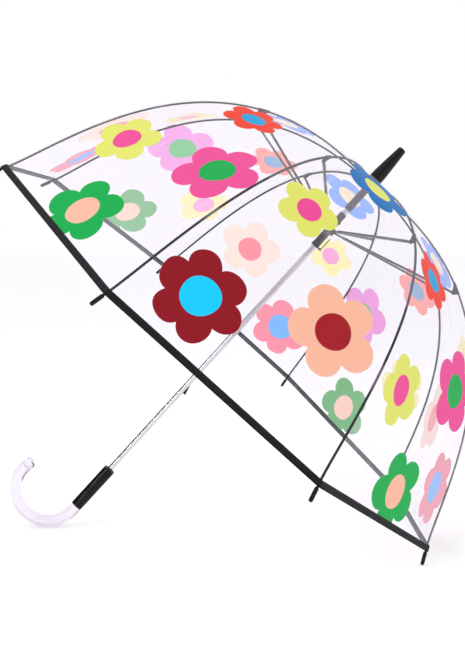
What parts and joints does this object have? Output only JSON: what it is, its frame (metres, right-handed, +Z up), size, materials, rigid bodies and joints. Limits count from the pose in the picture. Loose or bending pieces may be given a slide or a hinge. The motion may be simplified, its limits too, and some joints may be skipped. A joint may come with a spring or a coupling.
{
  "type": "children's dome umbrella",
  "caption": "Clear see-through dome umbrella for a child, printed with large flowers, with a slim plated shaft, sliding runner, folding ribs and a clear crook handle.",
  "frame": {"origin": "on the floor, under the middle of the open umbrella's bounding box", "axes": "+Z up; the shaft rises towards +X in the X-Z plane, from the crook at -X to the ferrule at +X; Y is across the dome"},
  "size_m": [0.5838, 0.677, 0.5436],
  "materials": {
    "plated_steel": "bright nickel plate on a drawn steel tube",
    "grey_steel": "grey coated spring steel strip and wire",
    "black_plastic": "black moulded plastic, fairly glossy",
    "grey_plastic": "dark grey moulded plastic, satin",
    "clear_acrylic": "water-clear bent acrylic rod, polished",
    "clear_film": "clear soft plastic film printed with flowers, glossy"
  },
  "bodies": {
    "shaft": {"shaft": "plated_steel", "crown": "grey_steel", "crown_wire": "grey_steel", "crown_washer": "black_plastic", "ferrule": "black_plastic", "collar": "black_plastic", "crook": "clear_acrylic", "crook_cap": "clear_acrylic"},
    "runner": {"runner": "grey_plastic", "runner_wire": "grey_steel"},
    "top_spring": {"top_spring": "black_plastic"},
    "bottom_spring": {"bottom_spring": "black_plastic"},
    "rib_upper_1": {"rib_upper_1": "grey_steel"},
    "rib_lower_1": {"rib_lower_1": "grey_steel", "rib_tip_1": "black_plastic"},
    "stretcher_1": {"stretcher_1": "grey_steel"},
    "gore_upper_1": {"gore_upper_1": "clear_film"},
    "gore_lower_1": {"gore_lower_1": "clear_film"},
    "rib_upper_2": {"rib_upper_2": "grey_steel"},
    "rib_lower_2": {"rib_lower_2": "grey_steel", "rib_tip_2": "black_plastic"},
    "stretcher_2": {"stretcher_2": "grey_steel"},
    "gore_upper_2": {"gore_upper_2": "clear_film"},
    "gore_lower_2": {"gore_lower_2": "clear_film"},
    "rib_upper_3": {"rib_upper_3": "grey_steel"},
    "rib_lower_3": {"rib_lower_3": "grey_steel", "rib_tip_3": "black_plastic"},
    "stretcher_3": {"stretcher_3": "grey_steel"},
    "gore_upper_3": {"gore_upper_3": "clear_film"},
    "gore_lower_3": {"gore_lower_3": "clear_film"},
    "rib_upper_4": {"rib_upper_4": "grey_steel"},
    "rib_lower_4": {"rib_lower_4": "grey_steel", "rib_tip_4": "black_plastic"},
    "stretcher_4": {"stretcher_4": "grey_steel"},
    "gore_upper_4": {"gore_upper_4": "clear_film"},
    "gore_lower_4": {"gore_lower_4": "clear_film"},
    "rib_upper_5": {"rib_upper_5": "grey_steel"},
    "rib_lower_5": {"rib_lower_5": "grey_steel", "rib_tip_5": "black_plastic"},
    "stretcher_5": {"stretcher_5": "grey_steel"},
    "gore_upper_5": {"gore_upper_5": "clear_film"},
    "gore_lower_5": {"gore_lower_5": "clear_film"},
    "rib_upper_6": {"rib_upper_6": "grey_steel"},
    "rib_lower_6": {"rib_lower_6": "grey_steel", "rib_tip_6": "black_plastic"},
    "stretcher_6": {"stretcher_6": "grey_steel"},
    "gore_upper_6": {"gore_upper_6": "clear_film"},
    "gore_lower_6": {"gore_lower_6": "clear_film"},
    "rib_upper_7": {"rib_upper_7": "grey_steel"},
    "rib_lower_7": {"rib_lower_7": "grey_steel", "rib_tip_7": "black_plastic"},
    "stretcher_7": {"stretcher_7": "grey_steel"},
    "gore_upper_7": {"gore_upper_7": "clear_film"},
    "gore_lower_7": {"gore_lower_7": "clear_film"},
    "rib_upper_8": {"rib_upper_8": "grey_steel"},
    "rib_lower_8": {"rib_lower_8": "grey_steel", "rib_tip_8": "black_plastic"},
    "stretcher_8": {"stretcher_8": "grey_steel"},
    "gore_upper_8": {"gore_upper_8": "clear_film"},
    "gore_lower_8": {"gore_lower_8": "clear_film"}
  },
  "joints": [
    {"name": "runner_slide", "type": "slide", "parent": "shaft", "child": "runner", "axis": [-0.6728, 0, -0.7398], "range_m": [0, 0.26155]},
    {"name": "rib_hinge_1", "type": "hinge", "parent": "shaft", "child": "rib_upper_1", "pos_m": [0.18277, 0.00254, 0.44532], "axis": [-0.2831, 0.9239, 0.2575], "range_deg": [0, 73.27]},
    {"name": "rib_flex_1", "type": "hinge", "parent": "rib_upper_1", "child": "rib_lower_1", "pos_m": [0.27617, 0.06715, 0.31619], "axis": [-0.2831, 0.9239, 0.2575], "range_deg": [-37.14, 0]},
    {"name": "stretcher_hinge_1", "type": "hinge", "parent": "rib_upper_1", "child": "stretcher_1", "pos_m": [0.27086, 0.06585, 0.31504], "axis": [-0.2831, 0.9239, 0.2575], "range_deg": [-145.18, 0]},
    {"name": "gore_upper_fold_1", "type": "hinge", "parent": "rib_upper_1", "child": "gore_upper_1", "pos_m": [0.22088, 0.033, 0.44731], "axis": [-0.8121, -0.5829, -0.0266], "range_deg": [0, 52.81], "deforming": ["gore_upper_1"]},
    {"name": "gore_lower_fold_1", "type": "hinge", "parent": "rib_lower_1", "child": "gore_lower_1", "pos_m": [0.42424, 0.13021, 0.52643], "axis": [-0.695, -0.677, 0.2421], "range_deg": [0, 27.28], "deforming": ["gore_lower_1"]},
    {"name": "rib_hinge_2", "type": "hinge", "parent": "shaft", "child": "rib_upper_2", "pos_m": [0.18011, 0.00614, 0.44774], "axis": [-0.6835, 0.3827, 0.6216], "range_deg": [0, 73.27]},
    {"name": "rib_flex_2", "type": "hinge", "parent": "rib_upper_2", "child": "rib_lower_2", "pos_m": [0.20591, 0.16212, 0.38009], "axis": [-0.6835, 0.3827, 0.6216], "range_deg": [-37.14, 0]},
    {"name": "stretcher_hinge_2", "type": "hinge", "parent": "rib_upper_2", "child": "stretcher_2", "pos_m": [0.20197, 0.15897, 0.37769], "axis": [-0.6835, 0.3827, 0.6216], "range_deg": [-145.18, 0]},
    {"name": "gore_upper_fold_2", "type": "hinge", "parent": "rib_upper_2", "child": "gore_upper_2", "pos_m": [0.19647, 0.04667, 0.46951], "axis": [-0.3809, -0.8243, -0.4188], "range_deg": [0, 52.81], "deforming": ["gore_upper_2"]},
    {"name": "gore_lower_fold_2", "type": "hinge", "parent": "rib_lower_2", "child": "gore_lower_2", "pos_m": [0.32792, 0.18414, 0.61404], "axis": [-0.1941, -0.9575, -0.2134], "range_deg": [0, 27.28], "deforming": ["gore_lower_2"]},
    {"name": "rib_hinge_3", "type": "hinge", "parent": "shaft", "child": "rib_upper_3", "pos_m": [0.17634, 0.00614, 0.45117], "axis": [-0.6835, -0.3827, 0.6216], "range_deg": [0, 73.27]},
    {"name": "rib_flex_3", "type": "hinge", "parent": "rib_upper_3", "child": "rib_lower_3", "pos_m": [0.10656, 0.16212, 0.47046], "axis": [-0.6835, -0.3827, 0.6216], "range_deg": [-37.14, 0]},
    {"name": "stretcher_hinge_3", "type": "hinge", "parent": "rib_upper_3", "child": "stretcher_3", "pos_m": [0.10454, 0.15897, 0.4663], "axis": [-0.6835, -0.3827, 0.6216], "range_deg": [-145.18, 0]},
    {"name": "gore_upper_fold_3", "type": "hinge", "parent": "rib_upper_3", "child": "gore_upper_3", "pos_m": [0.17205, 0.033, 0.49171], "axis": [0.0503, -0.5829, -0.811], "range_deg": [0, 52.81], "deforming": ["gore_upper_3"]},
    {"name": "gore_lower_fold_3", "type": "hinge", "parent": "rib_lower_3", "child": "gore_lower_3", "pos_m": [0.23159, 0.13021, 0.70165], "axis": [0.3067, -0.677, -0.669], "range_deg": [0, 27.28], "deforming": ["gore_lower_3"]},
    {"name": "rib_hinge_4", "type": "hinge", "parent": "shaft", "child": "rib_upper_4", "pos_m": [0.17368, 0.00254, 0.45359], "axis": [-0.2831, -0.9239, 0.2575], "range_deg": [0, 73.27]},
    {"name": "rib_flex_4", "type": "hinge", "parent": "rib_upper_4", "child": "rib_lower_4", "pos_m": [0.0363, 0.06715, 0.53435], "axis": [-0.2831, -0.9239, 0.2575], "range_deg": [-37.14, 0]},
    {"name": "stretcher_hinge_4", "type": "hinge", "parent": "rib_upper_4", "child": "stretcher_4", "pos_m": [0.03565, 0.06585, 0.52896], "axis": [-0.2831, -0.9239, 0.2575], "range_deg": [-145.18, 0]},
    {"name": "gore_upper_fold_4", "type": "hinge", "parent": "rib_upper_4", "child": "gore_upper_4", "pos_m": [0.16194, 0, 0.50091], "axis": [0.2289, 0, -0.9734], "range_deg": [0, 52.81], "deforming": ["gore_upper_4"]},
    {"name": "gore_lower_fold_4", "type": "hinge", "parent": "rib_lower_4", "child": "gore_lower_4", "pos_m": [0.19169, 0, 0.73794], "axis": [0.5142, 0, -0.8577], "range_deg": [0, 27.28], "deforming": ["gore_lower_4"]},
    {"name": "rib_hinge_5", "type": "hinge", "parent": "shaft", "child": "rib_upper_5", "pos_m": [0.17368, -0.00254, 0.45359], "axis": [0.2831, -0.9239, -0.2575], "range_deg": [0, 73.27]},
    {"name": "rib_flex_5", "type": "hinge", "parent": "rib_upper_5", "child": "rib_lower_5", "pos_m": [0.0363, -0.06715, 0.53435], "axis": [0.2831, -0.9239, -0.2575], "range_deg": [-37.14, 0]},
    {"name": "stretcher_hinge_5", "type": "hinge", "parent": "rib_upper_5", "child": "stretcher_5", "pos_m": [0.03565, -0.06585, 0.52896], "axis": [0.2831, -0.9239, -0.2575], "range_deg": [-145.18, 0]},
    {"name": "gore_upper_fold_5", "type": "hinge", "parent": "rib_upper_5", "child": "gore_upper_5", "pos_m": [0.17205, -0.033, 0.49171], "axis": [0.0503, 0.5829, -0.811], "range_deg": [0, 52.81], "deforming": ["gore_upper_5"]},
    {"name": "gore_lower_fold_5", "type": "hinge", "parent": "rib_lower_5", "child": "gore_lower_5", "pos_m": [0.23159, -0.13021, 0.70165], "axis": [0.3067, 0.677, -0.669], "range_deg": [0, 27.28], "deforming": ["gore_lower_5"]},
    {"name": "rib_hinge_6", "type": "hinge", "parent": "shaft", "child": "rib_upper_6", "pos_m": [0.17634, -0.00614, 0.45117], "axis": [0.6835, -0.3827, -0.6216], "range_deg": [0, 73.27]},
    {"name": "rib_flex_6", "type": "hinge", "parent": "rib_upper_6", "child": "rib_lower_6", "pos_m": [0.10656, -0.16212, 0.47046], "axis": [0.6835, -0.3827, -0.6216], "range_deg": [-37.14, 0]},
    {"name": "stretcher_hinge_6", "type": "hinge", "parent": "rib_upper_6", "child": "stretcher_6", "pos_m": [0.10454, -0.15897, 0.4663], "axis": [0.6835, -0.3827, -0.6216], "range_deg": [-145.18, 0]},
    {"name": "gore_upper_fold_6", "type": "hinge", "parent": "rib_upper_6", "child": "gore_upper_6", "pos_m": [0.19647, -0.04667, 0.46951], "axis": [-0.3809, 0.8243, -0.4188], "range_deg": [0, 52.81], "deforming": ["gore_upper_6"]},
    {"name": "gore_lower_fold_6", "type": "hinge", "parent": "rib_lower_6", "child": "gore_lower_6", "pos_m": [0.32792, -0.18414, 0.61404], "axis": [-0.1941, 0.9575, -0.2134], "range_deg": [0, 27.28], "deforming": ["gore_lower_6"]},
    {"name": "rib_hinge_7", "type": "hinge", "parent": "shaft", "child": "rib_upper_7", "pos_m": [0.18011, -0.00614, 0.44774], "axis": [0.6835, 0.3827, -0.6216], "range_deg": [0, 73.27]},
    {"name": "rib_flex_7", "type": "hinge", "parent": "rib_upper_7", "child": "rib_lower_7", "pos_m": [0.20591, -0.16212, 0.38009], "axis": [0.6835, 0.3827, -0.6216], "range_deg": [-37.14, 0]},
    {"name": "stretcher_hinge_7", "type": "hinge", "parent": "rib_upper_7", "child": "stretcher_7", "pos_m": [0.20197, -0.15897, 0.37769], "axis": [0.6835, 0.3827, -0.6216], "range_deg": [-145.18, 0]},
    {"name": "gore_upper_fold_7", "type": "hinge", "parent": "rib_upper_7", "child": "gore_upper_7", "pos_m": [0.22088, -0.033, 0.44731], "axis": [-0.8121, 0.5829, -0.0266], "range_deg": [0, 52.81], "deforming": ["gore_upper_7"]},
    {"name": "gore_lower_fold_7", "type": "hinge", "parent": "rib_lower_7", "child": "gore_lower_7", "pos_m": [0.42424, -0.13021, 0.52643], "axis": [-0.695, 0.677, 0.2421], "range_deg": [0, 27.28], "deforming": ["gore_lower_7"]},
    {"name": "rib_hinge_8", "type": "hinge", "parent": "shaft", "child": "rib_upper_8", "pos_m": [0.18277, -0.00254, 0.44532], "axis": [0.2831, 0.9239, -0.2575], "range_deg": [0, 73.27]},
    {"name": "rib_flex_8", "type": "hinge", "parent": "rib_upper_8", "child": "rib_lower_8", "pos_m": [0.27617, -0.06715, 0.31619], "axis": [0.2831, 0.9239, -0.2575], "range_deg": [-37.14, 0]},
    {"name": "stretcher_hinge_8", "type": "hinge", "parent": "rib_upper_8", "child": "stretcher_8", "pos_m": [0.27086, -0.06585, 0.31504], "axis": [0.2831, 0.9239, -0.2575], "range_deg": [-145.18, 0]},
    {"name": "gore_upper_fold_8", "type": "hinge", "parent": "rib_upper_8", "child": "gore_upper_8", "pos_m": [0.23099, 0, 0.43811], "axis": [-0.9907, 0, 0.1358], "range_deg": [0, 52.81], "deforming": ["gore_upper_8"]},
    {"name": "gore_lower_fold_8", "type": "hinge", "parent": "rib_lower_8", "child": "gore_lower_8", "pos_m": [0.46414, 0, 0.49014], "axis": [-0.9025, 0, 0.4308], "range_deg": [0, 27.28], "deforming": ["gore_lower_8"]},
    {"name": "top_spring_press", "type": "hinge", "parent": "shaft", "child": "top_spring", "pos_m": [0.13171, 0, 0.39444], "axis": [0, -1, 0], "range_deg": [0, 16], "stiffness_Nm_per_rad": 0.05},
    {"name": "bottom_spring_press", "type": "hinge", "parent": "shaft", "child": "bottom_spring", "pos_m": [-0.05269, 0, 0.1917], "axis": [0, 1, 0], "range_deg": [0, 13], "stiffness_Nm_per_rad": 0.05}
  ],
  "couplings": [
    {"joint": "rib_hinge_1", "follows": "runner_slide", "rad_per_m": 4.8881},
    {"joint": "rib_flex_1", "follows": "runner_slide", "rad_per_m": -2.4772},
    {"joint": "stretcher_hinge_1", "follows": "runner_slide", "rad_per_m": -9.6864},
    {"joint": "gore_upper_fold_1", "follows": "runner_slide", "rad_per_m": 3.5226},
    {"joint": "gore_lower_fold_1", "follows": "runner_slide", "rad_per_m": 1.8191},
    {"joint": "rib_hinge_2", "follows": "runner_slide", "rad_per_m": 4.8881},
    {"joint": "rib_flex_2", "follows": "runner_slide", "rad_per_m": -2.4772},
    {"joint": "stretcher_hinge_2", "follows": "runner_slide", "rad_per_m": -9.6864},
    {"joint": "gore_upper_fold_2", "follows": "runner_slide", "rad_per_m": 3.5226},
    {"joint": "gore_lower_fold_2", "follows": "runner_slide", "rad_per_m": 1.8191},
    {"joint": "rib_hinge_3", "follows": "runner_slide", "rad_per_m": 4.8881},
    {"joint": "rib_flex_3", "follows": "runner_slide", "rad_per_m": -2.4772},
    {"joint": "stretcher_hinge_3", "follows": "runner_slide", "rad_per_m": -9.6864},
    {"joint": "gore_upper_fold_3", "follows": "runner_slide", "rad_per_m": 3.5226},
    {"joint": "gore_lower_fold_3", "follows": "runner_slide", "rad_per_m": 1.8191},
    {"joint": "rib_hinge_4", "follows": "runner_slide", "rad_per_m": 4.8881},
    {"joint": "rib_flex_4", "follows": "runner_slide", "rad_per_m": -2.4772},
    {"joint": "stretcher_hinge_4", "follows": "runner_slide", "rad_per_m": -9.6864},
    {"joint": "gore_upper_fold_4", "follows": "runner_slide", "rad_per_m": 3.5226},
    {"joint": "gore_lower_fold_4", "follows": "runner_slide", "rad_per_m": 1.8191},
    {"joint": "rib_hinge_5", "follows": "runner_slide", "rad_per_m": 4.8881},
    {"joint": "rib_flex_5", "follows": "runner_slide", "rad_per_m": -2.4772},
    {"joint": "stretcher_hinge_5", "follows": "runner_slide", "rad_per_m": -9.6864},
    {"joint": "gore_upper_fold_5", "follows": "runner_slide", "rad_per_m": 3.5226},
    {"joint": "gore_lower_fold_5", "follows": "runner_slide", "rad_per_m": 1.8191},
    {"joint": "rib_hinge_6", "follows": "runner_slide", "rad_per_m": 4.8881},
    {"joint": "rib_flex_6", "follows": "runner_slide", "rad_per_m": -2.4772},
    {"joint": "stretcher_hinge_6", "follows": "runner_slide", "rad_per_m": -9.6864},
    {"joint": "gore_upper_fold_6", "follows": "runner_slide", "rad_per_m": 3.5226},
    {"joint": "gore_lower_fold_6", "follows": "runner_slide", "rad_per_m": 1.8191},
    {"joint": "rib_hinge_7", "follows": "runner_slide", "rad_per_m": 4.8881},
    {"joint": "rib_flex_7", "follows": "runner_slide", "rad_per_m": -2.4772},
    {"joint": "stretcher_hinge_7", "follows": "runner_slide", "rad_per_m": -9.6864},
    {"joint": "gore_upper_fold_7", "follows": "runner_slide", "rad_per_m": 3.5226},
    {"joint": "gore_lower_fold_7", "follows": "runner_slide", "rad_per_m": 1.8191},
    {"joint": "rib_hinge_8", "follows": "runner_slide", "rad_per_m": 4.8881},
    {"joint": "rib_flex_8", "follows": "runner_slide", "rad_per_m": -2.4772},
    {"joint": "stretcher_hinge_8", "follows": "runner_slide", "rad_per_m": -9.6864},
    {"joint": "gore_upper_fold_8", "follows": "runner_slide", "rad_per_m": 3.5226},
    {"joint": "gore_lower_fold_8", "follows": "runner_slide", "rad_per_m": 1.8191}
  ]
}
